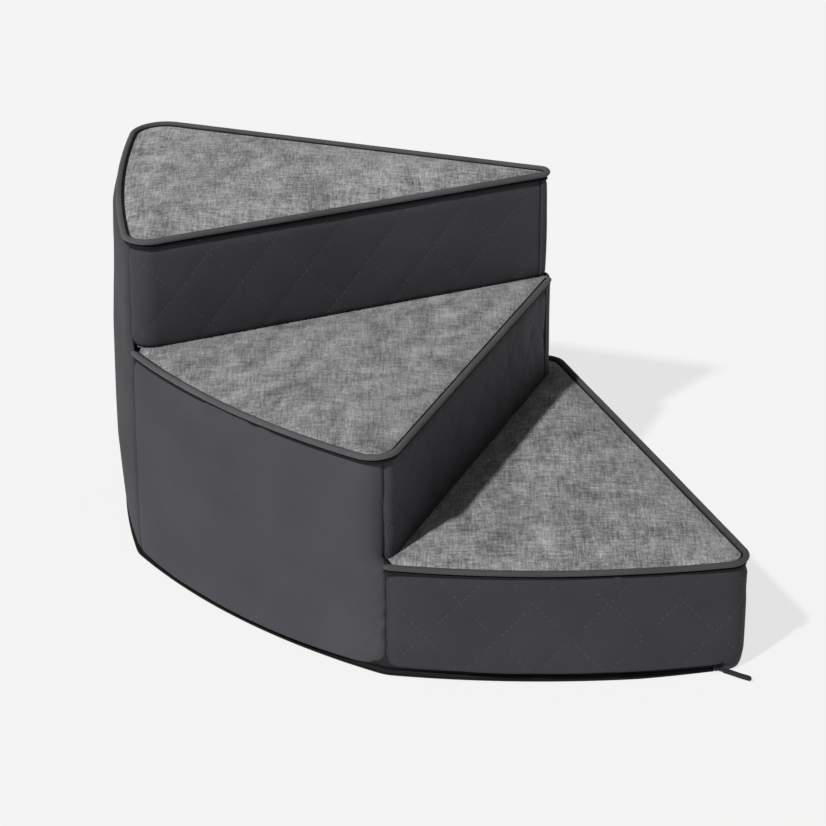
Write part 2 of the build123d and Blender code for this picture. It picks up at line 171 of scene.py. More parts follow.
BACK = polar(*BACK_CORNER)
LEFT = polar(*LEFT_CORNER)
FRONT = polar(*FRONT_CORNER)
ENTRY = polar(*ENTRY_CORNER)
TIP_3 = np.array([0.0, 0.0])
TIP_2 = np.array([-RISER_2_SHIFT, 0.0])
NOSE = np.array(NOSE_CENTRE)


def curved_side(start, end, sagitta):
    """A side that bows out between two points, as its kind, centre and radius."""
    chord = distance(start, end)
    radius = (chord * chord / 4 + sagitta * sagitta) / (2 * sagitta)
    return ("arc", (start + end) / 2 + polar(radius - sagitta, direction(start, end) + 90), radius)


RISER_3_DIRECTION = direction(TIP_3, LEFT)
RISER_2_DIRECTION = direction(TIP_2, FRONT)
ENTRY_DIRECTION = direction(NOSE, ENTRY) - math.degrees(math.asin(NOSE_R / distance(NOSE, ENTRY)))
SIDE_3 = curved_side(BACK, LEFT, SAGITTA_3)
SIDE_3_TOP = curved_side(BACK, LEFT, SAGITTA_TOP)
SIDE_2 = curved_side(LEFT, FRONT, SAGITTA_2)
SIDE_1 = curved_side(FRONT, ENTRY, SAGITTA_1)
BACK_SIDE = ("line", TIP_3, -90.0)
RISER_3 = ("line", TIP_3, RISER_3_DIRECTION - 90)
RISER_2 = ("line", TIP_2, RISER_2_DIRECTION - 90)
ENTRY_SIDE = ("line", ENTRY, ENTRY_DIRECTION - 90)


def inset_side(side, amount):
    """A side moved inwards."""
    kind, point, size = side
    if kind == "arc":
        return (kind, point, size - amount)
    return (kind, point + polar(amount, size), size)


def foot(side, point):
    """The nearest point of a side to a point."""
    kind, origin, size = side
    if kind == "arc":
        return origin + polar(size, direction(origin, point))
    inward = polar(1.0, size)
    return point - inward * float(np.dot(point - origin, inward))


def corner(side_a, side_b, apex, radius):
    """Centre and radius of the rounding between two sides."""
    centre = apex
    for _ in range(400):
        centre = foot(inset_side(side_b, radius), foot(inset_side(side_a, radius), centre))
    return centre, radius


BACK_ROUND = corner(BACK_SIDE, SIDE_3, BACK, BACK_R)
LEFT_ROUND = corner(SIDE_3, SIDE_2, LEFT, SEAM_R)
FRONT_ROUND = corner(SIDE_2, SIDE_1, FRONT, SEAM_R)
ENTRY_ROUND = corner(SIDE_1, ENTRY_SIDE, ENTRY, ENTRY_R)
BACK_TOP_ROUND = corner(BACK_SIDE, SIDE_3_TOP, BACK, BACK_R)
LEFT_TOP_ROUND = corner(SIDE_3_TOP, RISER_3, LEFT, LEFT_TOP_R)
FRONT_TOP_ROUND = corner(SIDE_2, RISER_2, FRONT, FRONT_TOP_R)
TIP_3_ROUND = corner(RISER_3, BACK_SIDE, TIP_3, TIP_3_R)
TIP_2_ROUND = corner(RISER_2, BACK_SIDE, TIP_2, TIP_2_R)
NOSE_ROUND = (NOSE, NOSE_R)
OUTLINES = {
    1: [(BACK_SIDE, BACK_ROUND), (SIDE_3, LEFT_ROUND), (SIDE_2, FRONT_ROUND), (SIDE_1, ENTRY_ROUND),
        (ENTRY_SIDE, NOSE_ROUND)],
    2: [(BACK_SIDE, BACK_ROUND), (SIDE_3, LEFT_ROUND), (SIDE_2, FRONT_TOP_ROUND), (RISER_2, TIP_2_ROUND)],
    3: [(BACK_SIDE, BACK_TOP_ROUND), (SIDE_3_TOP, LEFT_TOP_ROUND), (RISER_3, TIP_3_ROUND)],
}


def run(side, start, end):
    """Points of a straight or curved side from start up to, but not at, end."""
    count = max(2, int(distance(start, end) / SAMPLE))
    steps = np.linspace(0, 1, count, endpoint=False)[:, None]
    if side[0] == "line":
        return start + (end - start) * steps
    return arc_points(side[1], start, end)


def arc_points(centre, start, end):
    """Points of the shorter arc from start up to, but not at, end."""
    first = direction(centre, start)
    turn = (direction(centre, end) - first + 180) % 360 - 180
    radius = distance(centre, start)
    count = max(3, int(abs(math.radians(turn)) * radius / SAMPLE))
    angles = np.radians(first + turn * np.linspace(0, 1, count, endpoint=False))
    return centre + radius * np.stack([np.cos(angles), np.sin(angles)], 1)


def outline(level, amount=0.0):
    """Closed outline of a level moved inwards, anticlockwise, as closely spaced points."""
    sides = OUTLINES[level]
    points = []
    nose_depth = NOSE_CENTRE[1] + amount
    nose_radius = NOSE_R - amount
    nose_reach = math.sqrt(max(nose_radius ** 2 - nose_depth ** 2, 0.0))
    nose_end = np.array([NOSE_CENTRE[0] - nose_reach, -amount])
    for place, (side, (centre, _)) in enumerate(sides):
        here = inset_side(side, amount)
        after = inset_side(sides[(place + 1) % len(sides)][0], amount)
        start = foot(here, sides[place - 1][1][0])
        if place == 0 and level == 1:
            start = nose_end
        end = foot(here, centre)
        last = foot(after, centre) if centre is not NOSE else nose_end
        points.append(run(here, start, end))
        points.append(arc_points(centre, end, last))
    return np.concatenate(points)


class Path:
    """A line in plan, with outward normals, read by distance along it."""

    def __init__(self, points):
        self.points = np.asarray(points, float)
        steps = np.linalg.norm(np.diff(self.points, axis=0), axis=1)
        self.at = np.concatenate([[0.0], np.cumsum(steps)])
        self.length = float(self.at[-1])

    def place(self, along):
        along = np.clip(along, 0.0, self.length)
        return np.stack([np.interp(along, self.at, self.points[:, k]) for k in (0, 1)], -1)

    def outward(self, along, reach=1.0):
        tangent = self.place(np.asarray(along) + reach) - self.place(np.asarray(along) - reach)
        tangent /= np.linalg.norm(tangent, axis=-1, keepdims=True)
        return np.stack([tangent[..., 1], -tangent[..., 0]], -1)


def between(level, start, end, amount=0.0):
    """The part of a level's outline from the point nearest start, anticlockwise, to the one nearest end."""
    ring = outline(level, amount)
    first = int(np.argmin(np.linalg.norm(ring - start, axis=1)))
    last = int(np.argmin(np.linalg.norm(ring - end, axis=1)))
    if last <= first:
        last += len(ring)
    return Path(ring[np.arange(first, last + 1) % len(ring)])


def distance_along(path, point):
    """Distance along a path to the place nearest a point."""
    return float(path.at[int(np.argmin(np.linalg.norm(path.points - point, axis=1)))])


def along(side, point, length):
    """The point of a curved side at this distance round it from a point."""
    _, centre, radius = side
    return centre + polar(radius, direction(centre, point) + math.degrees(length / radius))


SEAM_BACK = np.array([BACK[0] + BACK_SEAM, 0.0])
SEAM_ENTRY = foot(ENTRY_SIDE, ENTRY - polar(ENTRY_SEAM, ENTRY_DIRECTION))
SEAM_TIP_2 = foot(RISER_2, TIP_2_ROUND[0]) + polar(TIP_2_SEAM, RISER_2_DIRECTION)
SEAM_TIP_3 = foot(RISER_3, TIP_3_ROUND[0]) + polar(TIP_3_SEAM, RISER_3_DIRECTION)
NOSE_END = outline(1)[0]
ZIP_BEGIN = along(SIDE_3, BACK, ZIP_START)
ZIP_END = ENTRY_ROUND[0] + polar(ENTRY_R, ENTRY_DIRECTION + 45 - 90)

# The tip's place in the frame: the flat back gives y, and the highest welt's end gives x.
TIP_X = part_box("piping_3")[1].x - (TIP_3_ROUND[0][0] + TIP_3_R + WELT_R) * MM
TIP_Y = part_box("back_cover")[1].y


def to_frame(xyz):
    xyz = np.asarray(xyz, float) * MM
    xyz[..., 0] += TIP_X
    xyz[..., 1] += TIP_Y
    return xyz


# ---- mesh building ----
def ripple(x, y, z, size, seed=0.0):
    """Smooth noise, from about -1 to 1, with features of about this size."""
    return noise.noise(Vector((x / size + seed * 17.3, y / size - seed * 9.1, z / size + seed * 5.7)))


def ripples(points, size, seed=0.0):
    """The same noise at each of an array of points."""
    values = [ripple(*point, size, seed) for point in points.reshape(-1, 3)]
    return np.array(values).reshape(points.shape[:-1])


def new_piece(name, points, faces):
    """A mesh piece from points in plan millimetres."""
    mesh = bpy.data.meshes.new(name)
    mesh.from_pydata(to_frame(np.asarray(points, float)).tolist(), [], [list(map(int, f)) for f in faces])
    mesh.validate()
    mesh.update()
    mesh.polygons.foreach_set("use_smooth", [True] * len(mesh.polygons))
    piece = bpy.data.objects.new(name, mesh)
    bpy.context.scene.collection.objects.link(piece)
    return piece


def set_uv(piece, uv):
    """Fabric coordinates in millimetres, one pair per vertex, for the weave."""
    layer = piece.data.uv_layers.new(name="cloth")
    loops = np.zeros(len(piece.data.loops), np.int32)
    piece.data.loops.foreach_get("vertex_index", loops)
    layer.data.foreach_set("uv", np.asarray(uv, np.float32)[loops].ravel())


def grid_faces(rows, columns, closed=False):
    """Four-sided faces over rows of points, where closed rows join their own ends."""
    faces = []
    for r in range(rows - 1):
        for c in range(columns if closed else columns - 1):
            a = r * columns + c
            b = r * columns + (c + 1) % columns
            faces.append((a, b, b + columns, a + columns))
    return faces


def shell(front, back):
    """Points and faces of a closed slab whose two faces are grids of the same shape."""
    rows, columns = front.shape[:2]
    count = rows * columns
    faces = grid_faces(rows, columns)
    faces += [tuple(i + count for i in reversed(f)) for f in grid_faces(rows, columns)]
    rim = [c for c in range(columns)]
    rim += [r * columns + columns - 1 for r in range(1, rows)]
    rim += [(rows - 1) * columns + c for c in range(columns - 2, -1, -1)]
    rim += [r * columns for r in range(rows - 2, 0, -1)]
    for place, a in enumerate(rim):
        b = rim[(place + 1) % len(rim)]
        faces.append((b, a, a + count, b + count))
    return np.concatenate([front.reshape(-1, 3), back.reshape(-1, 3)]), faces


def tube(points, radii, sides):
    """Rings of points about a 3-D line, kept upright. A radius is for a whole ring or for each point."""
    points = np.asarray(points, float)
    tangent = np.gradient(points, axis=0)
    tangent /= np.linalg.norm(tangent, axis=1, keepdims=True)
    side = np.cross(tangent, [0.0, 0.0, 1.0])
    side /= np.linalg.norm(side, axis=1, keepdims=True)
    up = np.cross(side, tangent)
    angles = np.linspace(0, 2 * math.pi, sides, endpoint=False)
    radii = np.broadcast_to(np.asarray(radii, float).reshape(len(points), -1), (len(points), sides))
    return points[:, None] + radii[..., None] * (
        np.cos(angles)[None, :, None] * side[:, None] + np.sin(angles)[None, :, None] * up[:, None]
    )


def capped(ring):
    """Points and faces of a tube with a flat face at each end."""
    count, sides = ring.shape[:2]
    faces = grid_faces(count, sides, closed=True)
    faces.append(tuple(reversed(range(sides))))
    faces.append(tuple((count - 1) * sides + k for k in range(sides)))
    return ring.reshape(-1, 3), faces


def looped(ring):
    """Points and faces of a tube whose two ends meet."""
    count, sides = ring.shape[:2]
    faces = []
    for r in range(count):
        after = (r + 1) % count
        for c in range(sides):
            d = (c + 1) % sides
            faces.append((r * sides + c, r * sides + d, after * sides + d, after * sides + c))
    return ring.reshape(-1, 3), faces


# ---- wall panels ----
def turn_in(edge, depth, width, power=1.7):
    """How far a panel turns in at this distance from its sewn edge."""
    return depth * np.clip(1 - edge / width, 0, 1) ** power


QUILT_W = 70.0                    # quilted diamonds, across and up
QUILT_H = 77.0
QUILT_REACH = 5.0                 # how far from a stitch line the quilting is drawn in
SWELL_EASE = 60.0                 # length at a panel's ends over which its swell grows
END_SWELL = 0.35                  # and the share of it that is there at the very end
DROP_LEAD = 6.0
DROP_EASE = 7.0
DROP_HEIGHT = 30.0
TUCK = 2.0
TUCK_HEIGHT = 14.0
LEVEL_BLEND = 18.0                # height over which a panel moves from one outline to the other


def quilt_distance(s, z, phase):
    """Distance to the nearest of the two families of slanting stitch lines."""
    lean = math.hypot(1 / QUILT_W, 1 / QUILT_H)
    u = (s - phase[0]) / QUILT_W
    v = (z - phase[1]) / QUILT_H
    first = np.abs((u + v + 0.5) % 1 - 0.5)
    second = np.abs((u - v + 0.5) % 1 - 0.5)
    return np.minimum(first, second) / lean


class Panel:
    """A sewn wall panel: a grid of fabric between two seams, over one or two outlines by height."""

    def __init__(self, name, lower, bottom, top, upper=None, change=None, bulge=2.0, spacing=2.4,
                 seams=((2.0, 12.0), (2.0, 12.0)), quilt=None, quilt_depth=0.5, folds=0.0, seed=1.0,
                 foot=(1.0, 4.0), head=(3.6, 12.0), belly=None, ease=0.0,
                 sharp=0.0, drop=None):
        self.name = name
        self.lower = lower
        self.upper = upper or lower
        self.change = change
        self.bottom = bottom
        self.top = top
        self.bulge = bulge
        self.seams = seams
        self.quilt = quilt
        self.quilt_depth = quilt_depth
        self.folds = folds
        self.seed = seed
        self.foot = foot
        self.head = head
        self.belly = belly
        self.ease = ease
        self.sharp = sharp
        self.drop = drop
        self.columns = int(self.lower.length / spacing) + 1
        self.rows = int((top - bottom) / spacing) + 1

    def share(self, t, z):
        """How far a height follows the upper outline, from 0 to 1."""
        if self.change is None:
            return np.zeros_like(z)
        width = LEVEL_BLEND + self.ease * np.clip(3 * (1 - t), 0, 1)
        share = np.clip((z - self.change) / width + 0.5, 0, 1)
        return share * share * (3 - 2 * share)

    def crown(self, z):
        """A rounded profile, from 0 at the foot and the head of the panel to 1 between them."""
        height = np.clip((z - self.bottom) / (self.top - self.bottom), 0, 1)
        return (4 * height * (1 - height)) ** 0.6

    def swell(self, t, z):
        """How far the foam pushes the fabric out."""
        s = t * self.lower.length
        ends = np.clip(np.minimum(s, self.lower.length - s) / SWELL_EASE, 0, 1) ** 0.5
        out = self.bulge * self.crown(z) * (END_SWELL + (1 - END_SWELL) * ends)
        if self.belly:
            depth, lift = self.belly
            sides = np.clip(4 * t * (1 - t), 0, 1) ** 0.7
            out = out + depth * sides * np.clip((z - self.bottom) / lift, 0, 1) ** 0.6
        return out

    def seam_pull(self, t, z):
        """How far the sewn edges draw the fabric in, with puckers beside the upright ones."""
        s = t * self.lower.length
        to_end = self.lower.length - s
        pucker = 1 + 0.3 * ripples(np.stack([s, z, np.zeros_like(s)], -1), 9.0, self.seed)
        left, right = self.seams
        pull = turn_in(self.top - z, *self.head, 1.15) + turn_in(z - self.bottom, *self.foot)
        pull += turn_in(s, *left) * pucker
        pull += turn_in(to_end, *right) * pucker * (1 - self.sharp * self.share(t, z))
        pull += turn_in(np.minimum(s, to_end), 0.6, 2.2) * (min(left[0], right[0]) > 0)
        return pull

    def waves(self, s, z):
        """Long and short waves of the fabric, and upright ripples along its foot and head."""
        flat = np.zeros_like(s)
        here = np.stack([s, z, flat], -1)
        near_edge = np.exp(-np.minimum(self.top - z, z - self.bottom) / 9)
        out = 0.55 * ripples(here, 70.0, self.seed + 1) + 0.16 * ripples(here, 24.0, self.seed + 2)
        return out + 0.3 * near_edge * ripples(np.stack([s, z * 0.25, flat], -1), 10.0, self.seed + 3)

    def offset(self, t, z):
        """How far the fabric stands out from the outline."""
        s = t * self.lower.length
        out = self.swell(t, z) - self.seam_pull(t, z) + self.waves(s, z)
        if self.drop:
            beyond = np.clip((s - self.drop[0] + DROP_LEAD) / DROP_EASE, 0, 1)
            out -= TUCK * beyond * np.clip(1 - (z - self.bottom) / TUCK_HEIGHT, 0, 1)
        if self.quilt:
            out -= self.quilt_depth * np.exp(-quilt_distance(s, z, self.quilt) / QUILT_REACH)
        if self.folds:
            bent = np.stack([s * 0.6 + z * 0.55, z * 0.35, np.zeros_like(s)], -1)
            crease = np.abs(ripples(bent, 34.0, self.seed + 4))
            out -= self.folds * np.exp(-crease * 9.0) * (0.5 + 0.5 * self.crown(z))
        return out

    def point(self, t, z, lift=0.0):
        """A point of the fabric's face: its place in plan and its height."""
        share = self.share(t, z)[..., None]
        low_at = t * self.lower.length
        high_at = t * self.upper.length
        facing = (1 - share) * self.lower.outward(low_at) + share * self.upper.outward(high_at)
        facing /= np.linalg.norm(facing, axis=-1, keepdims=True)
        plan = (1 - share) * self.lower.place(low_at) + share * self.upper.place(high_at)
        plan = plan + facing * (self.offset(t, z) + lift)[..., None]
        return np.concatenate([plan, z[..., None]], -1)

    def build(self):
        """The panel's mesh. A drop lowers its foot beyond a place along it."""
        t, z = np.meshgrid(np.linspace(0, 1, self.columns), np.linspace(self.bottom, self.top, self.rows))
        front = self.point(t, z)
        back = self.point(t, z, -WALL_T)
        if self.drop:
            start, depth = self.drop
            beyond = np.clip((t * self.lower.length - start) / DROP_EASE, 0, 1)
            lowered = depth * beyond * np.clip(1 - (z - self.bottom) / DROP_HEIGHT, 0, 1)
            front[..., 2] -= lowered
            back[..., 2] -= lowered
        points, faces = shell(front, back)
        piece = new_piece(self.name, points, faces)
        uv = np.stack([t * self.lower.length, z], -1).reshape(-1, 2)
        set_uv(piece, np.concatenate([uv, uv]))
        return piece


def top_of(level):
    return level * RISE + LIFT[level]


def wall_top(level):
    return top_of(level) - WALL_DROP


SEAM_LEFT_3 = LEFT_TOP_ROUND[0] + polar(LEFT_TOP_R, LEFT_SEAM_TURN)
SEAM_FRONT = along(SIDE_1, FRONT, FRONT_SEAM_SHIFT)
SEAM_FRONT_2 = FRONT_TOP_ROUND[0] + polar(FRONT_TOP_R, FRONT_SEAM_TURN)


# ---- materials ----
def shader(name, color, roughness, sheen=0.0, metallic=0.0):
    material = bpy.data.materials.new(name)
    material.use_nodes = True
    nodes = material.node_tree.nodes
    principled = nodes["Principled BSDF"]
    principled.inputs["Base Color"].default_value = (*color, 1)
    principled.inputs["Roughness"].default_value = roughness
    principled.inputs["Metallic"].default_value = metallic
    principled.inputs["Sheen Weight"].default_value = sheen
    principled.inputs["Specular IOR Level"].default_value = 0.3
    return material, nodes, material.node_tree.links, principled


def math_node(nodes, links, kind, a, b):
    node = nodes.new("ShaderNodeMath")
    node.operation = kind
    for place, value in enumerate((a, b)):
        if isinstance(value, (int, float)):
            node.inputs[place].default_value = value
        else:
            links.new(value, node.inputs[place])
    return node.outputs[0]


def noise_field(nodes, links, coords, stretch, scale, detail=3.0, rotate=0.0):
    """Noise over coordinates that are stretched first. Scale is per unit of the coordinates."""
    mapping = nodes.new("ShaderNodeMapping")
    mapping.vector_type = "TEXTURE"
    mapping.inputs["Scale"].default_value = tuple(1 / part for part in stretch)
    mapping.inputs["Rotation"].default_value = (0, 0, rotate)
    links.new(coords, mapping.inputs["Vector"])
    field = nodes.new("ShaderNodeTexNoise")
    field.inputs["Scale"].default_value = scale
    field.inputs["Detail"].default_value = detail
    links.new(mapping.outputs[0], field.inputs["Vector"])
    return field.outputs["Fac"]


def ramp(nodes, links, factor, stops):
    node = nodes.new("ShaderNodeValToRGB")
    while len(node.color_ramp.elements) < len(stops):
        node.color_ramp.elements.new(0.5)
    for element, (place, color) in zip(node.color_ramp.elements, stops):
        element.position = place
        element.color = (*color, 1)
    links.new(factor, node.inputs["Fac"])
    return node.outputs["Color"]


def bump(nodes, links, height, principled, strength, depth):
    node = nodes.new("ShaderNodeBump")
    node.inputs["Strength"].default_value = strength
    node.inputs["Distance"].default_value = depth
    links.new(height, node.inputs["Height"])
    links.new(node.outputs[0], principled.inputs["Normal"])


def grey(value, tint=0.0):
    """A neutral grey, or with a tint a slightly violet one."""
    return (value, value * (1 - tint * 0.25), value * (1 + tint))


def tread_material(name, brushed, tone):
    """Heathered plush: cloudy nap with fine threads both ways."""
    material, nodes, links, principled = shader(name, grey(0.3), 0.95, sheen=0.25)
    coords = nodes.new("ShaderNodeTexCoord").outputs["Object"]
    turn = math.radians(18.0)
    warp = noise_field(nodes, links, coords, (80, 300, 100), 1.0, 2.0, turn)
    weft = noise_field(nodes, links, coords, (560, 50, 100), 1.0, 2.0, turn)
    lean = -0.5 if brushed else 0.0
    cloud = noise_field(nodes, links, coords, (1, 0.6, 1), 52.0, 8.0, turn + lean)
    patch = noise_field(nodes, links, coords, (1, 0.55, 1), 15.0, 4.0, turn + lean)
    fuzz = noise_field(nodes, links, coords, (1, 0.6, 1), 520.0, 2.0, turn)
    shares = ((warp, 0.22), (weft, 0.22), (cloud, 0.3 if brushed else 0.22), (patch, 0.13), (fuzz, 0.21))
    total = 0.0
    for field, share in shares:
        total = math_node(nodes, links, "ADD", math_node(nodes, links, "MULTIPLY", field, share), total)
    # Tone lightens or darkens the whole ramp for one tread: painted light and shade.
    color = ramp(nodes, links, total, [(0.36, grey(0.05 * tone)), (0.46, grey(0.17 * tone)),
                                       (0.54, grey(0.31 * tone)), (0.66, grey(0.56 * tone))])
    links.new(color, principled.inputs["Base Color"])
    bump(nodes, links, fuzz, principled, 0.4, 0.0008)
    return material


def cloth_material(name, value, tint, weave=0.5, roughness=0.82, sheen=0.12, streak=0.1):
    """Plain woven cover fabric: a fine two-way weave with faint uneven dye."""
    material, nodes, links, principled = shader(name, grey(value, tint), roughness, sheen=sheen)
    coords = nodes.new("ShaderNodeTexCoord").outputs["Object"]
    cross = noise_field(nodes, links, coords, (1, 1, 3), 900.0, 2.0)
    cloud = noise_field(nodes, links, coords, (1, 1, 1), 14.0, 3.0)
    mixed = math_node(nodes, links, "ADD", math_node(nodes, links, "MULTIPLY", cross, weave),
                      math_node(nodes, links, "MULTIPLY", cloud, 1 - weave))
    color = ramp(nodes, links, mixed, [(0.3, grey(value * (1 - streak * 2.2), tint)),
                                       (0.7, grey(value * (1 + streak * 2.2), tint))])
    links.new(color, principled.inputs["Base Color"])
    bump(nodes, links, cross, principled, 0.35, 0.0004)
    return material


def scaled(color, share):
    return tuple(part * share for part in color)


def foam_material(name, color):
    """Cut polyurethane foam: open pores over a soft tone."""
    material, nodes, links, principled = shader(name, color, 0.9)
    coords = nodes.new("ShaderNodeTexCoord").outputs["Object"]
    pores = nodes.new("ShaderNodeTexVoronoi")
    pores.inputs["Scale"].default_value = 700.0
    links.new(coords, pores.inputs["Vector"])
    # The pores are darker than the foam between them: painted shade in them.
    tone = ramp(nodes, links, pores.outputs["Distance"], [(0.0, scaled(color, 0.7)), (0.4, color)])
    links.new(tone, principled.inputs["Base Color"])
    bump(nodes, links, pores.outputs["Distance"], principled, 0.5, 0.0006)
    return material


def hard_material(name, color, roughness, metallic, grain=300.0):
    """Painted metal or moulded plastic with fine uneven gloss."""
    material, nodes, links, principled = shader(name, color, roughness, metallic=metallic)
    coords = nodes.new("ShaderNodeTexCoord").outputs["Object"]
    speck = noise_field(nodes, links, coords, (1, 1, 1), grain, 3.0)
    tone = ramp(nodes, links, speck, [(0.35, scaled(color, 0.8)), (0.7, scaled(color, 1.3))])
    links.new(tone, principled.inputs["Base Color"])
    gloss = math_node(nodes, links, "MULTIPLY", speck, roughness * 2)
    links.new(gloss, principled.inputs["Roughness"])
    bump(nodes, links, speck, principled, 0.15, 0.0002)
    return material


# One fabric has several tones, tuned by place: they are painted light and shade, which make up for light that
# isn't matched.
# The treads' tones are painted light and shade: the top tread lighter, the middle one darker.
TREADS = {1: tread_material("tread_heather", False, 1.05), 2: tread_material("tread_brushed", True, 0.82),
          3: tread_material("tread_heather_top", False, 1.24)}
WELT = cloth_material("welt_cloth", 0.085, 0.04, weave=0.7, streak=0.22, sheen=0.1)
# A darker copy of the welt cloth for the lowest step: painted shade.
WELT_SHADED = cloth_material("welt_cloth_painted_shade", 0.062, 0.04, weave=0.7, streak=0.22, sheen=0.1)
# Near-black cloth for the tubes that paint the shade in the creases beside each welt.
CREASE_SHADE = cloth_material("painted_crease_shade_cloth", 0.006, 0.04, sheen=0.0)
PLAIN = cloth_material("side_cloth", 0.059, 0.12, sheen=0.0)
# A darker copy of the side cloth for the left side: painted shade.
PLAIN_SHADED = cloth_material("side_cloth_painted_shade", 0.049, 0.12, sheen=0.0)
QUILTED = cloth_material("quilted_cloth", 0.045, 0.14, sheen=0.03)
# A darker copy of the quilted cloth for the lowest step: painted shade.
QUILTED_SHADED = cloth_material("quilted_cloth_painted_shade", 0.038, 0.14, sheen=0.0)
BASE = cloth_material("base_cloth", 0.03, 0.02, weave=0.7)
HEM = cloth_material("hem_cloth", 0.045, 0.03, weave=0.7)
TAPE = cloth_material("zip_tape_cloth", 0.012, 0.05, sheen=0.0)
THREAD = cloth_material("thread", 0.10, 0.03, weave=0.8)
STRAP = cloth_material("strap_cloth", 0.012, 0.02, weave=0.8)
COILS = hard_material("coil_nylon", (0.02, 0.02, 0.022), 0.4, 0.0)
METAL = hard_material("slider_paint", (0.02, 0.02, 0.022), 0.35, 0.4)
RUBBER = hard_material("dot_rubber", (0.025, 0.025, 0.025), 0.7, 0.0)
FIRM_FOAM = foam_material("firm_foam", (0.74, 0.70, 0.55))
SOFT_FOAM = foam_material("soft_foam", (0.82, 0.80, 0.72))


def dress(piece, material, body, slot, *nodes):
    """Gives a piece its material and body, and hides the CAD nodes that it stands for. The slot is not used.
    """
    piece.data.materials.clear()
    piece.data.materials.append(material)
    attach(piece, body)
    if nodes:
        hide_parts(*nodes)
    return piece


# ---- treads and foam ----
def inside(points, ring):
    """Which points lie inside a closed ring."""
    x, y = points[:, 0][:, None], points[:, 1][:, None]
    x0, y0 = ring[:, 0][None], ring[:, 1][None]
    x1, y1 = np.roll(ring[:, 0], -1)[None], np.roll(ring[:, 1], -1)[None]
    crosses = (y0 > y) != (y1 > y)
    at = x0 + (y - y0) * (x1 - x0) / np.where(y1 == y0, 1e-9, y1 - y0)
    return (np.sum(crosses & (x < at), axis=1) % 2) == 1


def longest_run(flags):
    """Indices of the longest circular run of true flags."""
    count = len(flags)
    best, here = [], []
    for k in range(2 * count):
        if flags[k % count]:
            here.append(k % count)
            if len(here) > len(best) and len(here) <= count:
                best = list(here)
        else:
            here = []
    return best


def exposed(level, amount, column_amount):
    """Closed ring round the part of a level outside the column on it."""
    ring = outline(level, amount)[::4]
    if level == 3:
        return ring
    column = outline(level + 1, column_amount)[::4]
    outer = ring[longest_run(~inside(ring, column))]
    inner = column[longest_run(inside(column, ring))]
    reach, turn = (FRONT_CORNER, LEFT_CORNER)[level - 1]
    angles = np.degrees(np.arctan2(outer[:, 1], outer[:, 0])) % 360
    near_tip = np.linalg.norm(outer, axis=1) < reach - CORNER_ZONE
    outer = outer[near_tip | (angles > turn + CORNER_CUT)]
    inner = inner[np.linalg.norm(inner, axis=1) < reach - CORNER_REACH]
    return np.concatenate([outer, inner[::-1]])


def thinned(ring, spacing):
    """A closed ring with evenly spaced points."""
    closed = Path(np.concatenate([ring, ring[:1]]))
    count = int(closed.length / spacing)
    return closed.place(np.linspace(0, closed.length, count, endpoint=False))


def pad_mesh(name, ring, heights, spacing=4.0):
    """A closed pad over a ring. heights(plan, depth) gives the bottom and the top from the places in plan
    and their distances to the edge. Returns the piece, how many vertices its top has, and their depths."""
    rim = thinned(ring, spacing * 0.75)
    low, high = ring.min(0), ring.max(0)
    xs = np.arange(low[0], high[0], spacing)
    ys = np.arange(low[1], high[1], spacing * 0.866)
    grid = np.array([(x + (spacing / 2 if k % 2 else 0), y) for k, y in enumerate(ys) for x in xs])
    tree = kdtree.KDTree(len(ring))
    for k, p in enumerate(ring):
        tree.insert((p[0], p[1], 0), k)
    tree.balance()
    grid = grid[inside(grid, ring)]
    clear = np.array([tree.find((x, y, 0))[2] for x, y in grid])
    grid = grid[clear > spacing * 0.55]
    plan = np.concatenate([rim, grid])
    made = delaunay_2d_cdt([Vector(p) for p in plan], [], [list(range(len(rim)))], 1, 1e-6)
    plan = np.array([list(v) for v in made[0]])
    triangles = made[2]
    depth = np.array([tree.find((x, y, 0))[2] for x, y in plan])
    bottom, top = heights(plan, depth)
    count = len(plan)
    points = np.concatenate([np.column_stack([plan, top]), np.column_stack([plan, bottom])])
    faces = [tuple(t) for t in triangles]
    faces += [tuple(i + count for i in reversed(t)) for t in triangles]
    edges = {}
    for t in triangles:
        for a, b in zip(t, (*t[1:], t[0])):
            edges[(a, b)] = edges.get((a, b), 0) + 1
    for a, b in edges:
        if (b, a) not in edges:
            faces.append((b, a, a + count, b + count))
    piece = new_piece(name, points, faces)
    set_uv(piece, np.concatenate([plan, plan]))
    return piece, count, depth


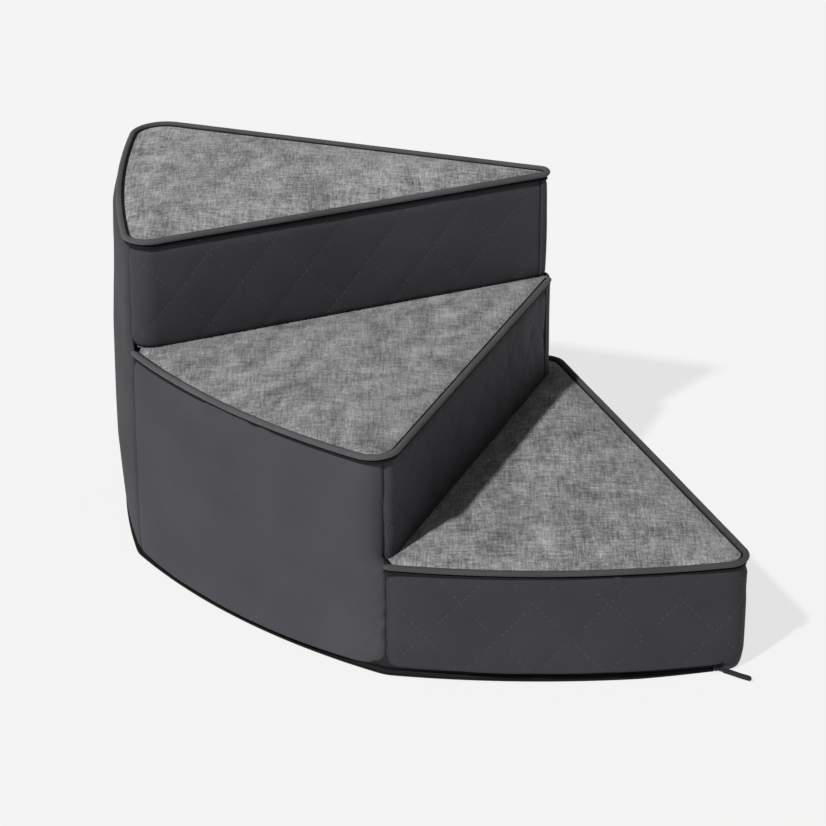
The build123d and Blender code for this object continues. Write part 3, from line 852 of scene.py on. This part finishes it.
def inflate(piece, free, cap, pressure=4.0, frames=18):
    """Runs and applies a cloth simulation of a closed pad with only some vertices free. Its travel is
    squeezed to less than cap, in millimetres."""
    rest = np.zeros(len(piece.data.vertices) * 3)
    piece.data.vertices.foreach_get("co", rest)
    rest = rest.reshape(-1, 3)
    held = piece.vertex_groups.new(name="held")
    held.add([int(k) for k in np.nonzero(~free)[0]], 1.0, "REPLACE")
    cloth = piece.modifiers.new("cloth", "CLOTH")
    cloth.settings.vertex_group_mass = "held"
    cloth.settings.quality = 4
    cloth.settings.mass = 0.3
    cloth.settings.tension_stiffness = 25
    cloth.settings.compression_stiffness = 15
    cloth.settings.shear_stiffness = 10
    cloth.settings.bending_stiffness = 2.0
    cloth.settings.air_damping = 4.0
    cloth.settings.use_pressure = True
    cloth.settings.uniform_pressure_force = pressure
    cloth.settings.effector_weights.gravity = 0.0
    cloth.collision_settings.use_collision = False
    scene = bpy.context.scene
    cloth.point_cache.frame_start = 1
    cloth.point_cache.frame_end = frames
    for step in range(1, frames + 1):
        scene.frame_set(step)
    depsgraph = bpy.context.evaluated_depsgraph_get()
    result = piece.evaluated_get(depsgraph)
    shape = np.zeros(len(rest) * 3)
    result.data.vertices.foreach_get("co", shape)
    shape = shape.reshape(-1, 3)
    travel = shape - rest
    length = np.linalg.norm(travel, axis=1, keepdims=True)
    print(piece.name, "cloth moved at most", round(float(length.max() * 1000), 2), "mm")
    travel *= np.minimum(1.0, cap * MM * np.tanh(length / (cap * MM)) / np.maximum(length, 1e-9))
    piece.modifiers.remove(cloth)
    piece.vertex_groups.remove(held)
    piece.data.vertices.foreach_set("co", (rest + travel).ravel())
    piece.data.update()
    scene.frame_set(1)


def tread(level):
    """The plush top of a step, crowned between its edges and simulated as cloth."""
    ring = exposed(level, TREAD_INSET, 2.5)
    top = top_of(level)

    def heights(plan, depth):
        here = np.column_stack([plan, np.zeros(len(plan))])
        crown = CROWN_H * (1 - np.exp(-depth / CROWN_REACH)) - EDGE_DIP * np.exp(-depth / EDGE_REACH)
        nap = 0.35 * ripples(here, 55.0, level) + 0.12 * ripples(here, 16.0, level + 3)
        upper = top + crown - TREAD_SINK + nap * np.clip(depth / 12, 0, 1)
        return np.full(len(plan), top - TREAD_T), upper

    piece, count, depth = pad_mesh(f"tread_{level}", ring, heights)
    free = np.concatenate([depth > 1.5, np.zeros(count, bool)])
    inflate(piece, free, cap=2.2)
    dress(piece, TREADS[level], "stair", "tread_plush", f"tread_cover_{level}")


def foam(level):
    """The firm block and the soft layer inside a step."""
    top = top_of(level) - FOAM_DEPTH
    under = max(BLOCK_FOOT, (level - 1) * RISE - SOFT_T)

    def block_heights(plan, depth):
        lower = np.full(len(plan), under) + 6 * np.exp(-depth / 4)
        return lower, np.full(len(plan), top - SOFT_T) - 1.2 * np.exp(-depth / 3)

    def soft_heights(plan, depth):
        upper = np.full(len(plan), top) - 2.5 * np.exp(-depth / 3)
        return np.full(len(plan), top - SOFT_T + 0.3), upper

    piece, _, _ = pad_mesh(f"foam_block_{level}", outline(level, FOAM_INSET[level])[::8], block_heights, 12.0)
    dress(piece, FIRM_FOAM, "stair", "firm_foam", f"foam_slab_{level}")
    ring = exposed(level, FOAM_INSET[level] + 1.0, -4.0)
    piece, _, _ = pad_mesh(f"comfort_pad_{level}", ring, soft_heights, 10.0)
    dress(piece, SOFT_FOAM, "stair", "soft_foam", f"comfort_layer_{level}")


# ---- welts ----
def welt_path(level):
    """The line that a welt is sewn along, and whether it closes on itself."""
    if level == 3:
        ring = outline(3)
        first = int(np.argmin(np.linalg.norm(ring - np.array([-150.0, 0.0]), axis=1)))
        return Path(np.concatenate([ring[first:], ring[:first + 1]])), True
    if level == 2:
        start = along(SIDE_2, LEFT, WELT_START[2])
        return between(2, start, TIP_2_ROUND[0] + polar(TIP_2_R, WELT_2_END)), False
    start = along(SIDE_1, FRONT, WELT_START[1])
    return between(1, start, NOSE + polar(NOSE_R, WELT_1_END)), False


def bias_pull(s, angle, level):
    """Noise round a welt, slanted as bias-cut fabric pulls."""
    return ripple(s * 0.9 + 5 * angle, 9 * math.cos(angle), 9 * math.sin(angle) + level * 40, 4.5)


def welt(level):
    """Covered cord sewn along a tread's edge, with the pull of its bias-cut fabric."""
    path, closed = welt_path(level)
    count = int(path.length / WELT_STEP)
    s = np.linspace(0, path.length, count, endpoint=not closed)
    around = s if not closed else np.sin(s / path.length * 2 * math.pi) * path.length / 6
    wander = np.array([ripple(a, level * 50.0, 0, 80.0) for a in around])
    rise = np.array([ripple(a, level * 50.0, 60, 110.0) for a in around])
    plan = path.place(s) + path.outward(s, 3.0) * (WELT_OUT + 0.5 * wander)[:, None]
    line = np.column_stack([plan, top_of(level) - WELT_DROP + 0.45 * rise])
    angles = np.linspace(0, 2 * math.pi, WELT_SIDES, endpoint=False)
    radii = WELT_R * (1 + 0.028 * np.array([[bias_pull(a, b, level) for b in angles] for a in s]))
    if not closed:
        ends = np.minimum(s, path.length - s)
        radii *= (0.55 + 0.45 * np.clip(ends / 5, 0, 1) ** 0.5)[:, None]
    ring = tube(line, radii, WELT_SIDES)
    points, faces = looped(ring) if closed else capped(ring)
    piece = new_piece(f"welt_{level}", points, faces)
    dress(piece, WELT_SHADED if level == 1 else WELT, "stair", "piping_fabric", f"piping_{level}")


def painted_crease_shades(level):
    """Near-black tubes on both sides of a welt: painted shade that stands in for the shadowed creases there.
    """
    path, _ = welt_path(level)
    s = np.linspace(0, path.length, int(path.length / CREASE_SHADE_STEP))
    for place, (inset, drop, radius) in enumerate(CREASE_SHADES):
        plan = path.place(s) - path.outward(s, 3.0) * inset
        line = np.column_stack([plan, np.full(len(s), top_of(level) - drop)])
        points, faces = capped(tube(line, np.full(len(s), radius), CREASE_SHADE_SIDES))
        dress(new_piece(f"seam_fold_{level}_{place}", points, faces), CREASE_SHADE, "stair", "piping_fabric")


# ---- threads ----
def stitch_mesh(name, runs, material, slot, radius=0.28, body="stair"):
    """Short raised stitches, each along a pair of points."""
    points, faces = [], []
    for a, b in runs:
        a, b = np.asarray(a, float), np.asarray(b, float)
        line = np.array([a, a * 0.85 + b * 0.15, a * 0.15 + b * 0.85, b])
        axis = b - a
        axis /= np.linalg.norm(axis)
        helper = np.array([0.0, 0.0, 1.0]) if abs(axis[2]) < 0.9 else np.array([1.0, 0.0, 0.0])
        side = np.cross(axis, helper)
        side /= np.linalg.norm(side)
        up = np.cross(side, axis)
        start = len(points)
        for p, r in zip(line, (0.45, 1.0, 1.0, 0.45)):
            for k in range(5):
                angle = 2 * math.pi * k / 5
                points.append(p + radius * r * (math.cos(angle) * side + math.sin(angle) * up))
        for ring in range(3):
            for k in range(5):
                i = start + ring * 5 + k
                j = start + ring * 5 + (k + 1) % 5
                faces.append((j, i, i + 5, j + 5))
        faces.append(tuple(start + k for k in range(5)))
        faces.append(tuple(start + 15 + k for k in reversed(range(5))))
    piece = new_piece(name, points, faces)
    return dress(piece, material, body, slot)


def quilt_stitches(panel):
    """Stitches along both families of slanting lines of a quilted panel, with some left out."""
    runs = []
    length = panel.lower.length
    slope = QUILT_H / QUILT_W
    flat = math.hypot(1, slope)
    span = (panel.top - panel.bottom) / slope
    first = math.floor(-span / QUILT_W) - 2
    last = math.ceil(length / QUILT_W) + 2 + int(span / QUILT_W)
    for lean in (1, -1):
        for k in range(first, last + 1):
            for n in range(-60, 90):
                step = n * (STITCH + STITCH_GAP) / flat
                s = panel.quilt[0] + k * QUILT_W + step
                z = panel.quilt[1] + lean * step * slope
                s_end = s + STITCH / flat
                z_end = z + lean * STITCH * slope / flat
                if min(s, s_end) < 6 or max(s, s_end) > length - 6:
                    continue
                if min(z, z_end) < panel.bottom + 3 or max(z, z_end) > panel.top - 5:
                    continue
                if ripple(s, z, 7.0 * lean, 11.0, panel.seed) < -0.12:
                    continue
                t = np.array([s, s_end]) / length
                runs.append(panel.point(t, np.array([z, z_end]), STITCH_LIFT))
    return stitch_mesh(f"{panel.name}_stitches", runs, THREAD, "quilted_fabric", 0.26)


# ---- panels ----
ZIP_END_AT = distance_along(between(1, SEAM_FRONT, SEAM_ENTRY), ZIP_END)
PANELS = [
    (Panel("side_panel_3", between(1, SEAM_BACK, LEFT), SIDE_FOOT, wall_top(3),
           between(3, SEAM_BACK, SEAM_LEFT_3), 2 * RISE, bulge=2.0, seed=3.0,
           seams=((2.0, 14.0), (1.0, 10.0)), belly=(7.0, 75.0), ease=90.0),
     PLAIN_SHADED, "side_fabric", "side_cover_3", (1, 2, 3)),
    (Panel("side_panel_2", between(1, LEFT, SEAM_FRONT), SIDE_FOOT, wall_top(2),
           between(2, LEFT, SEAM_FRONT_2), top_of(1), bulge=2.2, seed=5.0,
           seams=((1.6, 10.0), (8.5, 34.0)), belly=(4.5, 0.1), sharp=0.6),
     PLAIN, "side_fabric", "side_cover_2", (1, 2)),
    (Panel("side_panel_1", between(1, SEAM_FRONT, SEAM_ENTRY), WALL_FOOT, wall_top(1), bulge=1.2, seed=7.0,
           quilt=(41.0, 47.0), quilt_depth=0.6, seams=((8.0, 18.0), (0.8, 6.0)), belly=(4.5, 0.1),
           drop=(ZIP_END_AT + 9.0, WALL_FOOT - 1.0)),
     QUILTED_SHADED, "quilted_fabric", "side_cover_1", (1,)),
    (Panel("riser_panel_2", between(2, SEAM_FRONT_2, SEAM_TIP_2), RISE - 1.0, wall_top(2), bulge=1.4,
           quilt=(20.0, 162.0), quilt_depth=0.9, folds=1.3, seams=((3.4, 9.0), (1.2, 8.0)), seed=9.0,
           head=(3.0, 10.0)),
     QUILTED, "quilted_fabric", "riser_cover_2", (2,)),
    (Panel("riser_panel_3", between(3, SEAM_LEFT_3, SEAM_TIP_3), 2 * RISE - 1.0, wall_top(3), bulge=1.4,
           quilt=(53.0, 283.0), quilt_depth=0.6, folds=0.3, seams=((0.8, 8.0), (0.6, 5.0)), seed=11.0),
     QUILTED, "quilted_fabric", "riser_cover_3", (3,)),
    (Panel("entry_panel", between(1, SEAM_ENTRY, NOSE_END), 1.0, wall_top(1), bulge=1.4, seed=13.0,
           quilt=(20.0, 47.0), quilt_depth=0.4, seams=((0.8, 6.0), (1.2, 8.0))),
     QUILTED_SHADED, "quilted_fabric", "entry_cover", (1,)),
]


def build_panels():
    for panel, material, slot, node, foam_levels in PANELS:
        piece = dress(panel.build(), material, "stair", slot, node)
        stitches = [quilt_stitches(panel)] if panel.quilt else []


def build_back():
    """The flat back and its two wraps round the tip, as panels that meet at one hidden line."""
    split = np.array([-40.0, 0.0])
    main = Panel("back_panel", between(3, split, SEAM_BACK), WALL_FOOT, wall_top(3), bulge=3.0, seed=15.0,
                 seams=((0.0, 1.0), (2.0, 12.0)))
    dress(main.build(), PLAIN, "stair", "side_fabric", "back_cover")
    low_wrap = Panel("back_wrap_2", between(2, SEAM_TIP_2, split), RISE - 1.0, 2 * RISE - 1.0, bulge=0.2,
                     seams=((0.6, 4.0), (0.0, 1.0)), spacing=1.6, seed=17.0, head=(0.8, 4.0))
    high_wrap = Panel("back_wrap_3", between(3, SEAM_TIP_3, split), 2 * RISE - 1.0, wall_top(3), bulge=2.2,
                      seams=((0.6, 4.0), (0.0, 1.0)), spacing=1.6, seed=19.0, head=(1.5, 8.0))
    for wrap, level in ((low_wrap, 2), (high_wrap, 3)):
        dress(wrap.build(), QUILTED, "stair", "side_fabric")


# ---- base ----
def strip(name, path, section, spacing, material, slot, *nodes, taper=None):
    """A closed strip whose section, as (outwards, height) pairs, follows a path and may taper at its end."""
    count = int(path.length / spacing) + 2
    s = np.linspace(0, path.length, count)
    plan, facing = path.place(s), path.outward(s)
    section = np.asarray(section, float)
    ring = np.zeros((count, len(section), 3))
    out = np.repeat(section[None, :, 0], count, axis=0)
    if taper:
        root = section[:, 0].min()
        out = root + (out - root) * np.clip((path.length - s) / taper, 0.02, 1)[:, None]
    ring[..., :2] = plan[:, None] + facing[:, None] * out[..., None]
    ring[..., 2] = section[None, :, 1]
    return dress(new_piece(name, *capped(ring[:, ::-1])), material, "stair", slot, *nodes)


def rounded(width, height, radius, out, bottom, steps=4):
    """Section of a rounded bar whose outer face is at out and bottom face at bottom."""
    right, left = out - radius, out - width + radius
    low, high = bottom + radius, bottom + height - radius
    section = []
    for x, y, first in ((right, low, -90), (right, high, 0), (left, high, 90), (left, low, 180)):
        for k in range(steps + 1):
            angle = math.radians(first + 90 * k / steps)
            section.append((x + radius * math.cos(angle), y + radius * math.sin(angle)))
    return section


def hems():
    """The folded binding where the base has no zip."""
    section = rounded(HEM_T, HEM_TOP, HEM_ROUND, HEM_OUT, 0.0)
    for name, start, end, spacing in (("back", NOSE_END, ZIP_BEGIN, 3.0), ("entry", ZIP_END, NOSE_END, 2.5)):
        strip(f"hem_{name}", between(1, start, end), section, spacing, HEM, "binding_fabric",
              f"base_binding_{name}")


def zip_band():
    """The zip's two tapes with their coils, and the lip of the base below them."""
    path = between(1, ZIP_BEGIN, ZIP_END)
    foot = ZIP_Z + ROW_GAP / 2
    back = TAPE_INSET + TAPE_T
    upper = [(-TAPE_INSET, foot), (-TAPE_INSET, TAPE_BEND), (-TAPE_BACK, TAPE_TOP),
             (-TAPE_BACK - TAPE_T, TAPE_TOP - 0.3), (-back, TAPE_BEND + 0.4), (-back, foot)]
    strip("tape_upper", path, upper, 3.0, TAPE, "zip_tape", "zip_tape_upper")
    back = TAPE_INSET + LOWER_TAPE_T
    lower = [(-LIP_ROOT, FLOOR_GAP), (-LIP_ROOT, LIP_TOP - 0.05), (-TAPE_INSET, LIP_TOP),
             (-TAPE_INSET, LOWER_TAPE_TOP), (-back, LOWER_TAPE_TOP), (-back, LIP_TOP),
             (-back - 1.4, BASE_FOOT), (-LOWER_TAPE_BACK, BASE_FOOT), (-LOWER_TAPE_BACK, FLOOR_GAP)]
    edge = LIP_OUT - LIP_ROUND
    lip = [(edge, FLOOR_GAP), (LIP_OUT, 0.4), (edge, LIP_TOP), (-LIP_ROOT, LIP_TOP), (-LIP_ROOT, FLOOR_GAP)]
    lip_path = Path(path.points[:-int(LIP_SHORT / SAMPLE)])
    strip("base_lip", lip_path, lip, 3.0, TAPE, "binding_fabric", taper=LIP_TAPER)
    strip("tape_lower", path, lower, 3.0, TAPE, "zip_tape", "zip_tape_lower")
    for side, name in ((1, "upper"), (-1, "lower")):
        coil_row(path, side, f"coil_{name}", f"zip_coil_{name}")


def coil_row(path, side, name, node):
    """One row of the zip's nylon coil: a flattened wire helix that leans with each turn."""
    turns = int((path.length - 2 * COIL_START) / COIL_PITCH)
    steps = np.arange(turns * COIL_STEPS)
    angle = steps / COIL_STEPS * 2 * math.pi * side
    s = COIL_START + steps / COIL_STEPS * COIL_PITCH
    out = COIL_WIDE * np.cos(angle) - COIL_INSET - COIL / 2
    height = ZIP_Z + side * (ROW_GAP / 2 + COIL / 2) + COIL_TALL * np.sin(angle)
    line = np.column_stack([path.place(s) + path.outward(s) * out[:, None], height])
    tangent = np.gradient(line, axis=0)
    tangent /= np.linalg.norm(tangent, axis=1, keepdims=True)
    radial = np.concatenate([path.outward(s) * np.cos(angle)[:, None], np.sin(angle)[:, None]], 1)
    across = np.cross(tangent, radial)
    across /= np.linalg.norm(across, axis=1, keepdims=True)
    up = np.cross(across, tangent)
    around = np.linspace(0, 2 * math.pi, 5, endpoint=False)[None, :, None]
    ring = line[:, None] + WIRE_R * (np.cos(around) * across[:, None] + np.sin(around) * up[:, None])
    dress(new_piece(name, *capped(ring)), COILS, "stair", "zip_coil", node)


def base_sheet():
    """The non-slip fabric under the lowest foam block."""
    ring = outline(1, BASE_INSET)[::6]

    def heights(plan, depth):
        sag = 0.12 * ripples(np.column_stack([plan, np.zeros(len(plan))]), 60.0, 2.0)
        lower = BASE_FOOT + 0.15 + sag + 0.4 * np.exp(-depth / 3)
        return lower, np.full(len(plan), BASE_FOOT + BASE_T)

    piece, _, _ = pad_mesh("base_sheet", ring, heights, 9.0)
    dress(piece, BASE, "stair", "base_fabric", "base_panel")


def pull_strap():
    """The puller: a strap folded over the link, its two layers sewn together, with a rounded end."""
    pivot = next(j for j in frame["joints"] if j["name"] == "pull_swing")["pos_m"]
    origin = np.array([(pivot[0] - TIP_X) / MM, (pivot[1] - TIP_Y) / MM, ZIP_Z])
    ahead = np.array([*polar(1.0, STRAP_DIRECTION), 0.0])
    across = np.array([-ahead[1], ahead[0], 0.0])
    up = np.array([0.0, 0.0, 1.0])
    s = np.linspace(STRAP_START, STRAP_END, 70)
    t = (s - STRAP_START) / (STRAP_END - STRAP_START)
    half = STRAP_H / 2 * np.clip(0.42 + (s - STRAP_START) / 4.5, 0, 1)
    half *= np.sqrt(np.clip(1 - np.clip((s - STRAP_END + 2.4) / 2.5, 0, 1) ** 2, 0.02, 1))
    thick = STRAP_T / 2 * (1 + 0.35 * np.exp(-((s - STRAP_START) / 2.0) ** 2))
    thick *= np.clip((STRAP_END - s) / 0.8, 0.3, 1)
    angles = np.linspace(0, 2 * math.pi, 16, endpoint=False)
    wave = 0.25 * np.sin(t * 7.0)
    cross = np.sign(np.cos(angles)) * np.abs(np.cos(angles)) ** 0.6
    tall = np.sign(np.sin(angles)) * np.abs(np.sin(angles)) ** 0.45
    line = origin + s[:, None] * ahead + wave[:, None] * across
    ring = line[:, None] + (thick[:, None] * cross)[..., None] * across
    ring = ring + (half[:, None] * tall)[..., None] * up
    dress(new_piece("strap", *capped(ring)), STRAP, "pull", "pull_strap", "pull_tab")
    runs = []
    for side in (-1, 1):
        for height in (-1.7, 1.7):
            for k in range(11):
                a = STRAP_START + 4.5 + k * 2.4
                shift = side * (STRAP_T / 2 + 0.02) * across + height * up
                runs.append((origin + a * ahead + shift, origin + (a + 1.7) * ahead + shift))
    stitch_mesh("strap_stitches", runs, STRAP, "pull_strap", 0.16, "pull")


for level in (1, 2, 3):
    tread(level)
    foam(level)
    welt(level)
    painted_crease_shades(level)
build_panels()
build_back()
hems()
zip_band()
base_sheet()
pull_strap()

KEPT = {"grip_dots": RUBBER, "zip_stops": METAL, "zip_slider": METAL, "pull_link": METAL}
for node, material in KEPT.items():
    mesh = frame["nodes"][node].data
    mesh.materials.clear()
    mesh.materials.append(material)


# ---- stage, light and camera ----
SUN_HEADING = (-0.37, -0.93)
SUN_HEIGHT = 47.0
CAMERA_PLACE = (0.9606, -2.9778, 1.6905)
CAMERA_PITCH = 26.1
CAMERA_LENS = 150.3
CAMERA_HEADING = (-0.309, 0.951)


def stage():
    """A plain pale floor, near white mostly by its own glow."""
    mesh = bpy.data.meshes.new("floor")
    size = 12.0
    corners = [(-size, -size, 0), (size, -size, 0), (size, size, 0), (-size, size, 0)]
    mesh.from_pydata(corners, [], [(0, 1, 2, 3)])
    floor = bpy.data.objects.new("floor", mesh)
    bpy.context.scene.collection.objects.link(floor)
    material, _, _, principled = shader("floor_paint", (0.2, 0.2, 0.199), 1.0)
    principled.inputs["Specular IOR Level"].default_value = 0.0
    principled.inputs["Emission Color"].default_value = (1, 1, 0.995, 1)
    principled.inputs["Emission Strength"].default_value = 0.74
    mesh.materials.append(material)


def light():
    """An even sky, and one sun that casts the shadows."""
    world = bpy.data.worlds.new("studio")
    bpy.context.scene.world = world
    world.use_nodes = True
    world.node_tree.nodes["Background"].inputs["Color"].default_value = (1, 1, 1, 1)
    world.node_tree.nodes["Background"].inputs["Strength"].default_value = 0.16
    sun = bpy.data.lights.new("key", "SUN")
    sun.energy = 2.8
    sun.angle = math.radians(3.0)
    key = bpy.data.objects.new("key", sun)
    bpy.context.scene.collection.objects.link(key)
    height = math.radians(SUN_HEIGHT)
    flat = math.cos(height)
    towards = Vector((SUN_HEADING[0] * flat, SUN_HEADING[1] * flat, math.sin(height)))
    key.rotation_mode = "QUATERNION"
    key.rotation_quaternion = towards.to_track_quat("Z", "Y")


def camera():
    """The view of the stair from its front right, looking down on it."""
    data = bpy.data.cameras.new("camera")
    data.lens = CAMERA_LENS
    data.sensor_width = 36.0
    data.clip_end = 60.0
    view = bpy.data.objects.new("camera", data)
    bpy.context.scene.collection.objects.link(view)
    view.location = CAMERA_PLACE
    pitch = math.radians(CAMERA_PITCH)
    flat = Vector((CAMERA_HEADING[0], CAMERA_HEADING[1], 0)).normalized()
    aim = flat * math.cos(pitch) - Vector((0, 0, math.sin(pitch)))
    view.rotation_mode = "QUATERNION"
    view.rotation_quaternion = aim.to_track_quat("-Z", "Y")
    bpy.context.scene.camera = view


stage()
light()
camera()
bpy.context.scene.view_settings.view_transform = "Standard"
